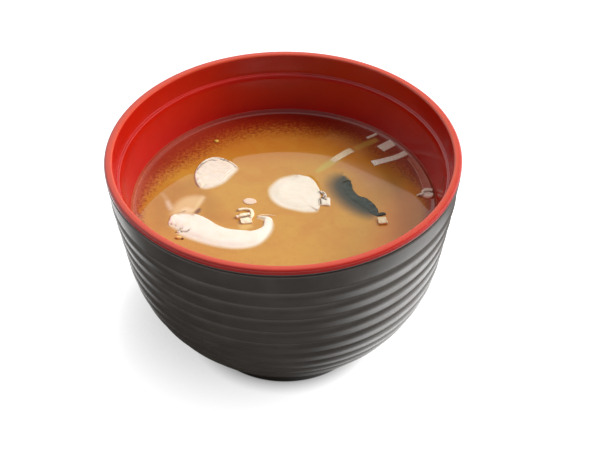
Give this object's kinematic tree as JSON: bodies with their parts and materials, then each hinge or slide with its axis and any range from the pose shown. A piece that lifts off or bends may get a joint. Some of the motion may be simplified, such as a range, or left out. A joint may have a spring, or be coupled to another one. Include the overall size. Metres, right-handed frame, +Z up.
{
  "type": "miso soup",
  "caption": "Miso soup in its bowl: dark ribbed outside, red lip and inside, cloudy broth, mushroom slices, a seaweed leaf, shreds of leek and a cube of tofu.",
  "frame": {"origin": "middle of the bowl's foot, on the surface it stands on", "axes": "+Z up, -Y towards the side it is usually seen from, +X to the right"},
  "size_m": [0.11, 0.11, 0.075],
  "materials": {
    "bowl_dark": "satin dark grey plastic, moulded ribs",
    "bowl_red": "glossy red lacquer",
    "broth": "cloudy broth with a wet mirror surface",
    "mushroom": "wet pale mushroom flesh",
    "seaweed": "wet dark green leaf",
    "leek": "wet half-clear shreds",
    "tofu": "moist bean curd"
  },
  "bodies": {
    "root": {"bowl_shell": "bowl_dark", "bowl_liner": "bowl_red", "soup": "broth", "mushroom_slice_left": "mushroom", "mushroom_slice_centre": "mushroom", "mushroom_slice_front": "mushroom", "wakame_leaf": "seaweed", "leek_shred_long": "leek", "leek_shred_wide": "leek", "leek_shred_bent": "leek", "leek_shred_small": "leek", "leek_bit": "leek", "leek_band": "leek", "leek_curl": "leek", "leek_crumbs": "leek", "tofu_cube": "tofu"}
  },
  "joints": []
}
